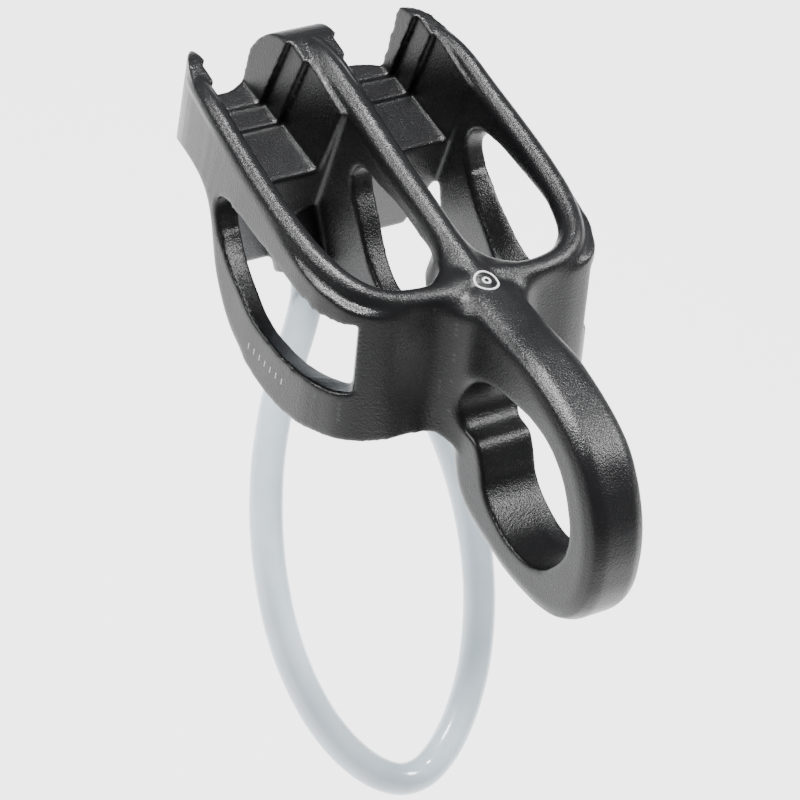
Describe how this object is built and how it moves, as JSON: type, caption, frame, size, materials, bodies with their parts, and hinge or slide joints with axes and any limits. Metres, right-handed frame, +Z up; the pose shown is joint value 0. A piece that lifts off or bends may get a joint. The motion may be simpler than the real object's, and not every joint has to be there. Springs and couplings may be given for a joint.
{
  "type": "rope descender",
  "caption": "Two-slot guide-style rope descender: forged body with a guide eye, stepped rope channels and a coated-cable keeper loop.",
  "frame": {"origin": "centre of the guide eye's hole, in the middle of the body's width", "axes": "+X across the three walls, +Y from the guide eye along the rope slots to the stepped far end, +Z up on the side the ropes enter"},
  "size_m": [0.0472, 0.0968, 0.089],
  "materials": {
    "black_anodised": "black anodised over a fine blasted grain, satin",
    "clear_plastic_coating": "smooth pale plastic coating, glossy",
    "galvanised_wire": "stranded galvanised steel wire",
    "swaged_aluminium": "bare swaged sleeve"
  },
  "bodies": {
    "body": {"body": "black_anodised", "ferrule_left": "swaged_aluminium", "ferrule_right": "swaged_aluminium", "wire_end_left": "galvanised_wire", "wire_end_right": "galvanised_wire"},
    "keeper_loop": {"cable_sheath": "clear_plastic_coating", "wire_core": "galvanised_wire"}
  },
  "joints": [
    {"name": "keeper_loop_bend", "type": "hinge", "parent": "body", "child": "keeper_loop", "pos_m": [0, 0.05712, -0.01119], "axis": [1, 0, 0], "range_deg": [-40, 25], "stiffness_Nm_per_rad": 0.3}
  ]
}
